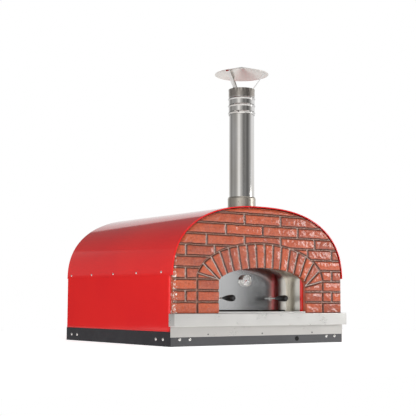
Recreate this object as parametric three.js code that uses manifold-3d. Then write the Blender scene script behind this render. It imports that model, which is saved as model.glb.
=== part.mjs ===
// Wood fired pizza oven for outdoor use: a steel shell over a refractory chamber, with a
// moulded brick front, a landing shelf, a lift-off door and a flue pipe under a rain cowl.
// Millimetres, +Z up, the mouth faces -Y, X = 0 is the middle of the width.
// Lengths along Y are measured from the plinth's front face; the last group centres them.
import * as THREE from "three";
import { mergeVertices } from "three/addons/utils/BufferGeometryUtils.js";
import Module from "manifold-3d";

const wasm = await Module();
wasm.setup();

// ---- Driving dimensions -------------------------------------------------------------
const GAP = 0.3; // clearance between pieces that touch
const SHEET = 1.8; // folded steel sheet
const PLATE = 2; // stainless plate
const WIDTH = 1170; // plinth, shelf and roof
const DEPTH = 1083; // plinth, front to back
const HALF = WIDTH / 2;

const plinth = { height: 73, wall: 3, flange: 30 };
const plug = { x: 247, z: 26, bore: 10, rim: 12.5, head: 2.5, shank: 8 };
const brace = { half: 20, bottom: 38, wall: 3 }; // square tubes between the side rails
const pan = { front: 31, margin: 6, bottom: 73, top: 75 };
const FLOOR = pan.top + GAP; // what stands on the floor pan starts here
const shelf = { bottom: 99, top: 164, reach: 40, back: 15.7, lip: 22 };
const apron = { bottom: 46, reach: 4, thick: 3 };

// The shell's outline is a flattened arch: straight sides, then a superellipse.
const arch = { spring: 345, crown: 731, power: 2.4, steps: 44 };
const lap = { edge: 355, cover: 13 }; // the roof laps over the side panels
const roof = { front: -12, back: 1085, lip: 9 };
const side = { half: HALF - 2.6, front: 16, bend: 12, flange: 22 };

// Facade: one moulded panel that stands on the shelf, with an arched mouth.
const facade = { front: -16, back: 16, inset: 12 };
const mouth = { half: 300, spring: 319, rise: 84 };
const frame = { front: 16.3, back: 34, half: 558, lintel: 410 };

// Vestibule: the steel throat between the facade and the chamber's mouth.
const throat = { half: 330, spring: 345, rise: 92, front: 34.3, back: 165 };
const sill = { top: 172, half: 298, front: -14 };
const seat = { front: 165.3, back: 167.3, half: 268, spring: 296, rise: 96 };
const seatPlate = { half: 345, rise: 112, bottom: 134 };

// Refractory chamber.
const chamber = { half: 430, spring: 290, rise: 180, wall: 55, front: 205.3, back: 960 };
const hearth = { bottom: 132, rows: 3, columns: 2, joint: 2 };
const board = { top: 131.7 };
const rearWall = { back: 1010 };
const frontWall = { front: 167.6, back: 205 };
const blanket = { thick: 60 };

// Flue: a smoke box over the vault, a stub, then the pipe in its roof collar.
const flue = { x: 0, y: 172, inner: 67.3, outer: 69.5, bottom: 736, top: 1330 };
const stub = { inner: 65, outer: 67, bottom: 600.3, top: 792 };
const collar = { outer: 77, flange: 86, top: 796, chamfer: 7 };
const smokeBox = { half: 108, front: 100, back: 308, bottom: 526, top: 600 };
const port = { half: 96, front: 222, back: 298, bottom: 486 };

// Cowl: a sleeve over the pipe's top, three strap legs and a shallow cone.
const sleeve = { inner: 69.8, outer: 72.5, bottom: 1254, top: 1400, bead: 3.8 };
const beads = [1261, 1303, 1341];
const cap = { radius: 150, rim: 1487, apex: 1532, thick: 2 };
const leg = { width: 22, thick: 2, foot: 1352, bend: 1404, reach: 132, azimuths: [195, 315, 75] };

// Lift-off door and what it carries.
const door = { front: 145, back: 165, bottom: 180, half: 297, spring: 300, top: 420, power: 2.6 };
const foot = { half: 18, x: 272, height: 7.4, front: 146, back: 162 };
const handle = { x: 181, z: 243, rod: 4, gripEnd: 7, gripStart: 100, gripRadius: 17.5 };
const washer = { radius: 13, front: 142 };
// How wide the grip is, as parts of its radius, at parts of its length from the tip.
const gripWidths = [[0, 0.42], [0.04, 0.74], [0.12, 0.94], [0.24, 1], [0.45, 0.88], [0.7, 0.58]];
const gauge = { z: 338, radius: 30, front: 125, stem: 4, stemEnd: 235 };
const needle = { reach: 21, tail: 5, root: 1.4, tip: 0.4, hub: 3, front: 131, rest: 135 };
const SEGMENTS = 40; // sides of a turned piece

// ---- Materials ----------------------------------------------------------------------
function material(color, roughness, metalness) {
  return new THREE.MeshStandardMaterial({ color, roughness, metalness });
}
const redPaint = material(0xd22a26, 0.22, 0.1);
const stainless = material(0xc4c3c0, 0.3, 1);
const blackSteel = material(0x262629, 0.5, 0.6);
const brickGlaze = material(0xb5583a, 0.35, 0);
const fireclay = material(0xd9b98e, 0.9, 0);
const ceramicWool = material(0xe8e6df, 0.95, 0);
const galvanised = material(0x9a9d9f, 0.45, 0.9);
const bakelite = material(0x121212, 0.25, 0);
const rubber = material(0x111111, 0.8, 0);
const dialWhite = material(0xf0f0ea, 0.5, 0);
const needleRed = material(0xb01818, 0.4, 0);
const lensGlass = material(0xdde6ea, 0.05, 0);

// ---- Geometry helpers ---------------------------------------------------------------
// Cut and join with manifold-3d, which needs shared vertices and positions only.
function solid(geometry) {
  const plain = geometry.index ? geometry.toNonIndexed() : geometry.clone();
  plain.deleteAttribute("normal");
  plain.deleteAttribute("uv");
  const merged = mergeVertices(plain, 1e-4);
  return new wasm.Manifold(
    new wasm.Mesh({
      numProp: 3,
      vertProperties: new Float32Array(merged.attributes.position.array),
      triVerts: new Uint32Array(merged.index.array),
    }),
  );
}

function geometryOf(body) {
  const mesh = body.getMesh();
  const geometry = new THREE.BufferGeometry();
  geometry.setAttribute("position", new THREE.BufferAttribute(mesh.vertProperties, 3));
  geometry.setIndex(new THREE.BufferAttribute(mesh.triVerts, 1));
  const flat = geometry.toNonIndexed();
  flat.computeVertexNormals();
  return flat;
}

function join(first, ...others) {
  return geometryOf(others.reduce((sum, g) => sum.add(solid(g)), solid(first)));
}

function cut(first, ...others) {
  return geometryOf(others.reduce((rest, g) => rest.subtract(solid(g)), solid(first)));
}

function shapeFrom(points, holes = []) {
  const shape = new THREE.Shape(points);
  shape.holes = holes.map((hole) => new THREE.Path(hole));
  return shape;
}

// An outline in X and Z, given thickness along Y.
function slabY(points, from, to, holes = []) {
  const options = { depth: to - from, bevelEnabled: false };
  const geometry = new THREE.ExtrudeGeometry(shapeFrom(points, holes), options);
  return geometry.rotateX(Math.PI / 2).translate(0, to, 0);
}

// An outline in X and Y, given height along Z.
function slabZ(points, from, to) {
  const options = { depth: to - from, bevelEnabled: false };
  return new THREE.ExtrudeGeometry(shapeFrom(points), options).translate(0, 0, from);
}

// An outline in Y and Z, given length along X.
function slabX(points, from, to, holes = []) {
  const options = { depth: to - from, bevelEnabled: false };
  const geometry = new THREE.ExtrudeGeometry(shapeFrom(points, holes), options);
  const turn = new THREE.Matrix4().makeBasis(
    new THREE.Vector3(0, 1, 0),
    new THREE.Vector3(0, 0, 1),
    new THREE.Vector3(1, 0, 0),
  );
  return geometry.applyMatrix4(turn).translate(from, 0, 0);
}

function block([x0, x1], [y0, y1], [z0, z1]) {
  const geometry = new THREE.BoxGeometry(x1 - x0, y1 - y0, z1 - z0);
  return geometry.translate((x0 + x1) / 2, (y0 + y1) / 2, (z0 + z1) / 2);
}

function rectangle([u0, u1], [v0, v1]) {
  return [
    new THREE.Vector2(u0, v0),
    new THREE.Vector2(u1, v0),
    new THREE.Vector2(u1, v1),
    new THREE.Vector2(u0, v1),
  ];
}

// A turned piece about the vertical axis; the profile is a closed loop of [radius, z].
function turnedZ(profile, x = 0, y = 0) {
  const points = profile.map(([r, z]) => new THREE.Vector2(r, z));
  const closed = profile[0][0] > 0 ? [...points, points[0].clone()] : points;
  const geometry = new THREE.LatheGeometry(closed, SEGMENTS);
  return geometry.rotateX(Math.PI / 2).translate(x, y, 0);
}

// A turned piece about an axis along Y; the profile is [radius, y], nearest the viewer first.
function turnedY(profile, x, z) {
  const points = profile.map(([r, y]) => new THREE.Vector2(r, y));
  const closed = profile[0][0] > 0 ? [...points, points[0].clone()] : points;
  return new THREE.LatheGeometry(closed, SEGMENTS).translate(x, 0, z);
}

// Round cutters: one up the flue's axis, one straight back through the door or the plinth.
function flueBore(radius, from, to) {
  return turnedZ([[0, from], [radius, from], [radius, to], [0, to]], flue.x, flue.y);
}

function boreY(radius, from, to, x, z) {
  return turnedY([[0, from], [radius, from], [radius, to], [0, to]], x, z);
}

// Points of a superellipse arch from the right foot over the crown to the left foot,
// moved inwards by `inset`, with straight sides down to `bottom`.
function archOutline({ half, spring, rise, power = 2, bottom, inset = 0, steps = 32 }) {
  const at = (t) => {
    const c = Math.cos(t);
    const s = Math.sin(t);
    const x = half * Math.sign(c) * Math.abs(c) ** (2 / power);
    return new THREE.Vector2(x, spring + rise * Math.max(s, 0) ** (2 / power));
  };
  const points = [];
  for (let i = 0; i <= steps; i++) {
    const t = Math.min(Math.max((Math.PI * i) / steps, 1e-3), Math.PI - 1e-3);
    const along = at(t + 5e-4).sub(at(t - 5e-4)).normalize();
    const inwards = new THREE.Vector2(-along.y, along.x);
    points.push(at(t).addScaledVector(inwards, inset));
  }
  const x = half - inset;
  return [new THREE.Vector2(-x, bottom), new THREE.Vector2(x, bottom), ...points];
}

const shellOutline = (inset, bottom) =>
  archOutline({
    half: HALF,
    spring: arch.spring,
    rise: arch.crown - arch.spring,
    power: arch.power,
    steps: arch.steps,
    bottom,
    inset,
  });

const root = new THREE.Group();
const body = new THREE.Group(); // everything that stays put
const doorGroup = new THREE.Group();
const pipeGroup = new THREE.Group();
const cowlGroup = new THREE.Group();
const needleGroup = new THREE.Group();

function add(group, name, geometry, surface) {
  const mesh = new THREE.Mesh(geometry, surface);
  mesh.name = name;
  group.add(mesh);
  return mesh;
}

// ---- Plinth -------------------------------------------------------------------------
// C-section open towards the middle: `out` is the outer face, `inwards` is +1 or -1.
function channelSection(out, inwards) {
  const { height, wall, flange } = plinth;
  const top = height - GAP;
  const web = out + inwards * wall;
  const tip = out + inwards * flange;
  const points = [
    [out, 0],
    [tip, 0],
    [tip, wall],
    [web, wall],
    [web, top - wall],
    [tip, top - wall],
    [tip, top],
    [out, top],
  ];
  return points.map(([u, z]) => new THREE.Vector2(u, z));
}

function makePlinth() {
  for (const [name, sign] of [["plinth_rail_left", -1], ["plinth_rail_right", 1]]) {
    add(body, name, slabY(channelSection(sign * HALF, -sign), 0, DEPTH), blackSteel);
  }
  const between = HALF - plinth.flange - GAP;
  const front = slabX(channelSection(0, 1), -between, between);
  const face = block([-HALF + plinth.wall + GAP, HALF - plinth.wall - GAP], [0, plinth.wall], [
    plinth.wall + GAP,
    plinth.height - plinth.wall - 2 * GAP,
  ]);
  const bore = boreY(plug.bore, -5, plinth.wall + 5, plug.x, plug.z);
  add(body, "plinth_rail_front", cut(join(front, face), bore), blackSteel);
  add(body, "plinth_rail_rear", slabX(channelSection(DEPTH, -1), -between, between), blackSteel);
  makeBraces(between);
  const x = side.half - 3;
  const sheet = block([-x, x], [pan.front, DEPTH - pan.margin], [pan.bottom, pan.top]);
  add(body, "floor_pan", sheet, galvanised);
}

function makeBraces(reach) {
  const { half, bottom, wall } = brace;
  const top = plinth.height - GAP;
  for (const i of [1, 2]) {
    const y = (i * DEPTH) / 3;
    const tube = rectangle([y - half, y + half], [bottom, top]);
    const inside = half - wall;
    const hollow = rectangle([y - inside, y + inside], [bottom + wall, top - wall]);
    add(body, `cross_brace_${i}`, slabX(tube, -reach, reach, [hollow]), blackSteel);
  }
}

// A rubber plug in the hole through the plinth's front.
function makePlug() {
  const { bore, rim, head, shank, x, z } = plug;
  const r = bore - GAP;
  const profile = [[0, -head], [rim, -head], [rim, -GAP], [r, -GAP], [r, shank], [0, shank]];
  add(body, "plinth_plug", turnedY(profile, x, z), rubber);
}

// ---- Shelf and apron ----------------------------------------------------------------
function makeShelf() {
  const { bottom, top, reach, back, lip } = shelf;
  const outer = block([-HALF, HALF], [-reach, back], [bottom, top]);
  const x = HALF - PLATE;
  const hollow = block([-x, x], [PLATE - reach, back - PLATE], [bottom + PLATE, top - PLATE]);
  const slot = block([-x + lip, x - lip], [lip - reach, back - 12], [bottom - 1, bottom + 3]);
  add(body, "landing_shelf", cut(outer, hollow, slot), stainless);

  const face = block([-HALF, HALF], [-apron.reach, apron.thick - apron.reach], [
    apron.bottom,
    shelf.bottom - GAP,
  ]);
  add(body, "apron_strip", face, stainless);
}

// ---- Shell --------------------------------------------------------------------------
// A side panel seen from above: a flat sheet whose front edge is rolled inwards.
function sidePanelSection(sign) {
  const { half, front, bend, flange } = side;
  const back = DEPTH - 1;
  const outer = [[half, back]];
  const inner = [[half - SHEET, back]];
  for (let i = 0; i <= 6; i++) {
    const a = (i / 6) * (Math.PI / 2);
    const c = Math.cos(a);
    const s = Math.sin(a);
    outer.push([half - bend + bend * c, front + bend - bend * s]);
    inner.push([half - bend + (bend - SHEET) * c, front + bend - (bend - SHEET) * s]);
  }
  outer.push([half - flange, front]);
  inner.push([half - flange, front + SHEET]);
  return [...outer, ...inner.reverse()].map(([x, y]) => new THREE.Vector2(sign * x, y));
}

function makeShell() {
  for (const [name, sign] of [["side_panel_left", -1], ["side_panel_right", 1]]) {
    const panel = slabZ(sidePanelSection(sign), plinth.height, lap.edge + lap.cover);
    add(body, name, panel, redPaint);
  }
  add(body, "roof_sheet", roofSheet(), redPaint);

  const backOutline = shellOutline(6, plinth.height + GAP);
  const backPanel = slabY(backOutline, DEPTH - 5, DEPTH - 5 + SHEET);
  add(body, "back_panel", backPanel, redPaint);
}

// The roof: one bent sheet with a narrow lip turned in at the front, bored for the flue.
function roofSheet() {
  const { front, back, lip } = roof;
  const full = slabY(shellOutline(0, 0), front, back);
  const inside = slabY(shellOutline(SHEET, -50), front + SHEET, back + 5);
  const opening = slabY(shellOutline(lip, -50), front - 5, front + SHEET + 1);
  const below = block([-700, 700], [-100, 1200], [-100, lap.edge]);
  const bore = flueBore(flue.outer + 1.5, arch.crown - 60, arch.crown + 60);
  return cut(full, inside, opening, below, bore);
}

// The shell's front frame, behind the facade: a plate with a square mouth and its return.
function makeFrame() {
  const outline = archOutline({
    half: frame.half,
    spring: arch.spring,
    rise: arch.crown - arch.spring - 16,
    power: arch.power,
    bottom: plinth.height + GAP,
  });
  const hole = rectangle([-mouth.half, mouth.half], [shelf.top, frame.lintel]);
  const plate = slabY(outline, frame.front, frame.front + SHEET, [hole]);
  const rim = mouth.half + SHEET;
  const around = rectangle([-rim, rim], [shelf.top - SHEET, frame.lintel + SHEET]);
  const flange = slabY(around, frame.front, frame.back, [hole]);
  add(body, "front_frame", join(plate, flange), redPaint);
}

function makeFacade() {
  const base = shelf.top + GAP;
  const outline = shellOutline(facade.inset, base);
  const opening = archOutline({ ...mouth, bottom: base - 5 });
  const panel = slabY(outline, facade.front, facade.back);
  const hole = slabY(opening, facade.front - 5, facade.back + 5);
  add(body, "brick_facade", cut(panel, hole), brickGlaze);
}

// ---- Vestibule ----------------------------------------------------------------------
function makeVestibule() {
  const { half, spring, rise, front, back } = throat;
  const bottom = sill.top - 6;
  const outer = archOutline({ half: half + PLATE, spring, rise: rise + PLATE, bottom });
  const inner = archOutline({ half, spring, rise, bottom: bottom - 5 });
  const lining = cut(slabY(outer, front, back), slabY(inner, front - 5, back + 5));
  add(body, "vestibule_lining", lining, stainless);

  const narrow = block([-sill.half, sill.half], [sill.front, throat.front + 10], [
    shelf.top + GAP,
    sill.top,
  ]);
  const wide = block([-throat.half + GAP, throat.half - GAP], [throat.front, throat.back], [
    shelf.top + GAP,
    sill.top,
  ]);
  add(body, "sill_plate", join(narrow, wide), stainless);

  const stand = block([-half, half], [front, back], [FLOOR, shelf.top]);
  const hollow = block([-half + PLATE, half - PLATE], [front + PLATE, back - PLATE], [
    FLOOR - 5,
    shelf.top - PLATE,
  ]);
  add(body, "sill_support", cut(stand, hollow), galvanised);

  const seatOuter = archOutline({ ...seatPlate, spring });
  const seatHole = archOutline({ ...seat, bottom: sill.top });
  const ring = slabY(seatOuter, seat.front, seat.back, [seatHole]);
  add(body, "door_seat_plate", ring, stainless);
}

// ---- Chamber ------------------------------------------------------------------------
function makeChamber() {
  const { half, spring, rise, wall, front, back } = chamber;
  const floor = board.top + GAP;
  const vaultOuter = (grow) =>
    archOutline({ half: half + wall + grow, spring, rise: rise + wall + grow, bottom: floor });

  const insulation = block([-half - wall, half + wall], [frontWall.front, rearWall.back], [
    FLOOR,
    board.top,
  ]);
  add(body, "floor_insulation", insulation, ceramicWool);

  const tileWidth = (2 * half - 2 * GAP) / hearth.columns;
  const tileLength = (back - frontWall.back - 2 * GAP) / hearth.rows;
  for (let column = 0; column < hearth.columns; column++) {
    for (let row = 0; row < hearth.rows; row++) {
      const x = -half + GAP + column * tileWidth;
      const y = frontWall.back + GAP + row * tileLength;
      const tile = block([x, x + tileWidth - hearth.joint], [y, y + tileLength - hearth.joint], [
        hearth.bottom,
        sill.top,
      ]);
      add(body, `hearth_tile_${column * hearth.rows + row + 1}`, tile, fireclay);
    }
  }

  const innerVault = archOutline({ half, spring, rise, bottom: floor - 5 });
  const tunnel = slabY(innerVault, front - 5, back + 5);
  const portCut = block([-port.half - 1, port.half + 1], [port.front - 1, port.back + 1], [
    port.bottom - 60,
    smokeBox.bottom + 60,
  ]);
  add(body, "chamber_vault", cut(slabY(vaultOuter(0), front, back), tunnel, portCut), fireclay);

  const rear = slabY(vaultOuter(0), back + GAP, rearWall.back);
  add(body, "chamber_rear_wall", rear, fireclay);

  const opening = archOutline({ ...seat, bottom: sill.top });
  const wallPlate = slabY(vaultOuter(0), frontWall.front, frontWall.back, [opening]);
  add(body, "chamber_front_wall", wallPlate, fireclay);

  const wool = slabY(vaultOuter(blanket.thick), frontWall.front, rearWall.back);
  const core = slabY(vaultOuter(GAP), frontWall.front - 5, rearWall.back + 5);
  const under = block([-600, 600], [100, 1100], [0, floor + 20]);
  const chimneyWell = block([-smokeBox.half - 2, smokeBox.half + 2], [100, smokeBox.back + 2], [
    400,
    700,
  ]);
  add(body, "insulation_blanket", cut(wool, core, under, chimneyWell), ceramicWool);
}

// ---- Flue ---------------------------------------------------------------------------
function makeSmokeBox() {
  const { half, front, back, bottom, top } = smokeBox;
  const shellBox = block([-half, half], [front, back], [bottom, top]);
  const neck = block([-port.half, port.half], [port.front, port.back], [port.bottom, bottom + 1]);
  const hollow = block([PLATE - half, half - PLATE], [front + PLATE, back - PLATE], [
    bottom + PLATE,
    top - PLATE,
  ]);
  const x = port.half - PLATE;
  const way = block([-x, x], [port.front + PLATE, port.back - PLATE], [
    port.bottom - 1,
    bottom + 3,
  ]);
  const hole = flueBore(stub.inner, top - 9, top + 9);
  add(body, "smoke_box", cut(join(shellBox, neck), hollow, way, hole), galvanised);

  const tube = [
    [stub.inner, stub.bottom],
    [stub.outer, stub.bottom],
    [stub.outer, stub.top],
    [stub.inner, stub.top],
  ];
  add(body, "flue_stub", turnedZ(tube, flue.x, flue.y), galvanised);

  const ledge = flue.bottom - GAP;
  const base = arch.crown + GAP;
  const ring = [
    [flue.inner, base],
    [collar.flange, base],
    [collar.flange, base + 2.5],
    [collar.outer, base + 2.5],
    [collar.outer, collar.top - collar.chamfer],
    [collar.outer - 4, collar.top],
    [flue.outer + GAP, collar.top],
    [flue.outer + GAP, ledge],
    [flue.inner, ledge],
  ];
  add(body, "roof_collar", turnedZ(ring, flue.x, flue.y), stainless);
}

function makePipe() {
  const tube = [
    [flue.inner, flue.bottom],
    [flue.outer, flue.bottom],
    [flue.outer, flue.top],
    [flue.inner, flue.top],
  ];
  add(pipeGroup, "flue_pipe", turnedZ(tube, flue.x, flue.y), stainless);
}

// The sleeve sits over the pipe and stops on its top edge; rolled beads stiffen it.
function sleeveProfile() {
  const { inner, outer, bottom, top, bead } = sleeve;
  const stop = flue.top + GAP;
  const profile = [[inner, bottom], [outer, bottom]];
  for (const z of beads) {
    profile.push([outer, z - 5], [outer + bead, z - 2], [outer + bead, z + 2], [outer, z + 5]);
  }
  profile.push([outer, top], [flue.inner, top], [flue.inner, stop], [inner, stop]);
  return profile;
}

// One strap leg, made along +X at the axis: upright inside the sleeve, then flared to the cap.
function legStrap() {
  const { width, thick, foot: low, bend, reach } = leg;
  const r = Math.sqrt((flue.inner - 2 * GAP) ** 2 - (width / 2) ** 2) - thick;
  const slope = (cap.apex - cap.rim) / cap.radius;
  const tip = cap.apex - slope * reach - 3;
  const path = [
    [r, low],
    [r, bend],
    [reach - 14, tip - 10],
    [reach, tip],
  ];
  const outer = path.map(([x, z]) => [x + thick, z]);
  const points = [...outer, ...path.reverse()].map(([x, z]) => new THREE.Vector2(x, z));
  return slabY(points, -width / 2, width / 2);
}

function makeCowl() {
  add(cowlGroup, "cowl_sleeve", turnedZ(sleeveProfile(), flue.x, flue.y), stainless);
  for (const [i, azimuth] of leg.azimuths.entries()) {
    const strap = add(cowlGroup, `cowl_leg_${i + 1}`, legStrap(), stainless);
    strap.position.set(flue.x, flue.y, 0);
    strap.rotation.z = THREE.MathUtils.degToRad(azimuth);
  }
  const { radius, rim, apex, thick } = cap;
  const cone = [[0, apex - thick], [radius, rim - thick], [radius, rim], [0, apex]];
  add(cowlGroup, "cowl_cap", turnedZ(cone, flue.x, flue.y), stainless);
}

// ---- Door ---------------------------------------------------------------------------
function doorOutline(inset) {
  const { half, spring, top, power, bottom } = door;
  return archOutline({
    half,
    spring,
    rise: top - spring,
    power,
    bottom: bottom + inset,
    inset,
    steps: 36,
  });
}

function makeDoor() {
  const bore = () => boreY(gauge.stem + 1, door.front - 45, door.back + 35, 0, gauge.z);
  const skin = slabY(doorOutline(0), door.front, door.front + PLATE);
  const rim = slabY(doorOutline(0), door.front, door.back, [doorOutline(PLATE)]);
  add(doorGroup, "door_panel", cut(join(skin, rim), bore()), stainless);
  const core = slabY(doorOutline(PLATE + GAP), door.front + PLATE + GAP, door.back - PLATE - GAP);
  add(doorGroup, "door_insulation", cut(core, bore()), ceramicWool);
  const back = slabY(doorOutline(PLATE + GAP), door.back - PLATE, door.back);
  add(doorGroup, "door_back_plate", cut(back, bore()), stainless);

  for (const [hand, sign] of [["left", -1], ["right", 1]]) {
    const x = sign * foot.x;
    const pad = block([x - foot.half, x + foot.half], [foot.front, foot.back], [
      door.bottom - GAP - foot.height,
      door.bottom - GAP,
    ]);
    add(doorGroup, `door_foot_${hand}`, pad, blackSteel);
    makeHandle(hand, sign * handle.x);
  }
}

// A handle is a steel rod square to the door, a washer, and a tapered grip.
function makeHandle(name, x) {
  const { z, rod, gripEnd, gripStart, gripRadius } = handle;
  const disc = boreY(washer.radius, washer.front, door.front - GAP, x, z);
  add(doorGroup, `handle_washer_${name}`, disc, stainless);
  const bar = boreY(rod, gripStart + GAP, washer.front - GAP, x, z);
  add(doorGroup, `handle_rod_${name}`, bar, stainless);
  const length = gripStart - gripEnd;
  const profile = [[0, gripEnd]];
  for (const [along, wide] of gripWidths) {
    profile.push([gripRadius * wide, gripEnd + length * along]);
  }
  profile.push([6, gripStart], [0, gripStart]);
  add(doorGroup, `handle_grip_${name}`, turnedY(profile, x, z), bakelite);
}

function makeGauge() {
  const { z, radius, front } = gauge;
  const back = door.front - GAP;
  const wall = radius - 2;
  const cup = [
    [0, back - 2],
    [wall, back - 2],
    [wall, front + 2.3],
    [radius, front + 2.3],
    [radius, back],
    [0, back],
  ];
  add(doorGroup, "gauge_case", turnedY(cup, 0, z), stainless);
  const bezel = [[25, front], [radius + 1, front], [radius + 1, front + 2], [25, front + 2]];
  add(doorGroup, "gauge_bezel", turnedY(bezel, 0, z), stainless);
  const inside = wall - GAP;
  add(doorGroup, "gauge_lens", boreY(inside, front + 2.3, front + 4, 0, z), lensGlass);
  add(doorGroup, "gauge_dial", boreY(inside, front + 9, front + 10, 0, z), dialWhite);
  const stem = boreY(gauge.stem, door.front, gauge.stemEnd, 0, z);
  add(doorGroup, "gauge_stem", stem, stainless);
}

// The needle lies at the low end of the scale, pointing down and to the left.
function makeNeedle() {
  const { reach, tail, root: wide, tip, hub, front, rest } = needle;
  const outline = [[-tail, -wide], [reach, -tip], [reach, tip], [-tail, wide]];
  const points = outline.map(([u, v]) => new THREE.Vector2(u, v));
  const blade = slabY(points, front + 0.5, front + 1.5);
  blade.rotateY(THREE.MathUtils.degToRad(rest));
  const boss = boreY(hub, front, front + 2.5, 0, 0);
  const piece = add(needleGroup, "gauge_needle", join(blade, boss), needleRed);
  piece.position.set(0, 0, gauge.z);
}

makePlinth();
makePlug();
makeShelf();
makeShell();
makeFrame();
makeFacade();
makeVestibule();
makeChamber();
makeSmokeBox();
makePipe();
makeCowl();
makeDoor();
makeGauge();
makeNeedle();

doorGroup.add(needleGroup);
pipeGroup.add(cowlGroup);
const oven = new THREE.Group();
oven.add(body, doorGroup, pipeGroup);
oven.position.y = -(roof.back - shelf.reach) / 2; // the origin is under the middle of the oven
root.add(oven);

export default root;
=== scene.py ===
"""A wood fired pizza oven: the visual model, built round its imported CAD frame.

Metres, +Z up, the mouth faces -Y. Places come from the frame's boxes.
"""
from math import asin, copysign, cos, pi, radians, sin, tan

import bmesh
import bpy
import numpy as np
from mathutils import Matrix, Vector, noise


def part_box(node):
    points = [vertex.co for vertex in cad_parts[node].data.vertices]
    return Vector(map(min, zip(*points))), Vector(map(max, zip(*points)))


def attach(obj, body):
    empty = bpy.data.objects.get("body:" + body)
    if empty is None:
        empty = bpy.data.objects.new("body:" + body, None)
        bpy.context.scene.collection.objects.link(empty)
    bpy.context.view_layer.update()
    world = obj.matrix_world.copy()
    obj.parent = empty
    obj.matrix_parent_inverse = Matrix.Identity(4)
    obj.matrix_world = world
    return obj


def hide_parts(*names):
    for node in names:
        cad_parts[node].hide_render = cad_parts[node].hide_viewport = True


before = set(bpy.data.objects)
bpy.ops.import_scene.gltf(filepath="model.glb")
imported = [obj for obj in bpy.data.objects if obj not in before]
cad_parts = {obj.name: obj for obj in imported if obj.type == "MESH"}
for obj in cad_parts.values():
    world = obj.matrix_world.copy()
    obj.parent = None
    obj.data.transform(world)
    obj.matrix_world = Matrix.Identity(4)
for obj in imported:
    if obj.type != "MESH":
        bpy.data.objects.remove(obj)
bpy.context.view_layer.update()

# ---- Places taken from the frame ----
ROOF_LO, ROOF_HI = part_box("roof_sheet")
SHELF_LO, SHELF_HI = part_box("landing_shelf")
FACADE_LO, FACADE_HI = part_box("brick_facade")
SIDE_LO, SIDE_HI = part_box("side_panel_right")
RAIL_LO, RAIL_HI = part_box("plinth_rail_right")
APRON_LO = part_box("apron_strip")[0]
PIPE_LO, PIPE_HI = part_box("flue_pipe")
SLEEVE_LO, SLEEVE_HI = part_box("cowl_sleeve")
COLLAR_LO, COLLAR_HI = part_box("roof_collar")
CAP_LO, CAP_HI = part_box("cowl_cap")
DIAL_LO, DIAL_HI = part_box("gauge_dial")
CASE_LO, CASE_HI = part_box("gauge_case")
BEZEL_LO, BEZEL_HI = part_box("gauge_bezel")
BACK_LO, BACK_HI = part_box("back_panel")

HALF = ROOF_HI.x
FLUE = Vector(((PIPE_LO.x + PIPE_HI.x) / 2, (PIPE_LO.y + PIPE_HI.y) / 2, 0))
PIPE_RADIUS = PIPE_HI.x - FLUE.x
GAUGE_Z = (DIAL_LO.z + DIAL_HI.z) / 2
LEFT, RIGHT = Vector((-1, 0, 0)), Vector((1, 0, 0))
FRONT, BACK = Vector((0, -1, 0)), Vector((0, 1, 0))

# ---- Driving dimensions ----
SHEET = 0.0018  # folded steel sheet
SHELL_SPRING = 0.345  # the shell's straight sides end here
SHELL_POWER = 2.4  # and a superellipse of this power closes it over
ROLL = 0.004  # radius of the roof sheet's rolled front edge
LIP = 0.007  # how far that edge turns in
SIDE_BEND = 0.012  # radius of the side panels' front bend
SIDE_FLANGE = 0.022  # how far in from the side the flange beyond it reaches
HEM = 0.0012  # how far the side panels' foot stands out
BORE_GAP = 0.0012  # clearance round the pipe in the roof sheet

MOUTH = {"half": 0.299, "spring": 0.319, "rise": 0.084}
MOUTH_SHIFT = 0.007  # the moulding's mouth sits a little to the right
RING = {"half": 0.430, "spring": 0.338, "rise": 0.194}
PANEL_INSET = 0.012  # how far the moulding lies inside the shell's outline
COURSE = 0.058  # one course of bricks with its joint
RING_BRICKS = 16
RING_LEAN = radians(77)  # how far the lowest ring joint leans from the vertical
# The upright joints of each course, as distances from the middle, lowest course first.
UPRIGHTS = [[], [0.500], [], [0.500], [], [0.320, 0.500], [0.124, 0.372], [0.0, 0.248], [0.124], []]
JOINT = 0.0037  # half the width of a mortar joint
RECESS = 0.0105  # how far the mortar lies behind the brick faces
ROUND = 0.0085  # how far in a brick's edge is rounded over
FAR = 1.0  # stands for the distance to a joint that a brick does not have
PAINTED_GLINT_LEFT_OF = -0.556  # white specks are painted left of here as highlights on the rounded brick corners

RIVET_PITCH = 0.2372
RIVET_LEVEL = 0.372  # just above the roof's lower edge
BOLT_LEVEL = 0.035  # middle of the plinth rails
APRON_SCREW_LEVEL = 0.058
COLLAR_SCREW_LEVEL = 0.035  # above the collar's foot
COLLAR_FLANGE = 0.009  # how far the flange stands out from the collar
FIT_GAP = 0.0006  # between the collar and the pipe

PIPE_WALL = 0.0012
SLEEVE_RADIUS = 0.0725
SLEEVE_WALL = 0.0016
BEAD_LEVELS = (1.266, 1.306, 1.345)
BEAD_RISE = 0.0038
BEAD_REACH = 0.0075  # half a bead's height
CRIMP_BAND = 0.03  # how far down from its rim the sleeve is crimped
CRIMP_COUNT = 22
SOOT_LEVEL = 1.352  # smoke has browned the sleeve above here
CAP_SHEET = 0.0012

DIAL_START, DIAL_SWEEP = 225, 270  # degrees, clockwise from the lower left
DIAL_TICKS = 50
DIAL_HUNDREDS = 5


# ---- Node materials ----
def rgba(value):
    """A colour, or a grey level, with full alpha."""
    return (*value, 1) if isinstance(value, tuple) else (value, value, value, 1)


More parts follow.
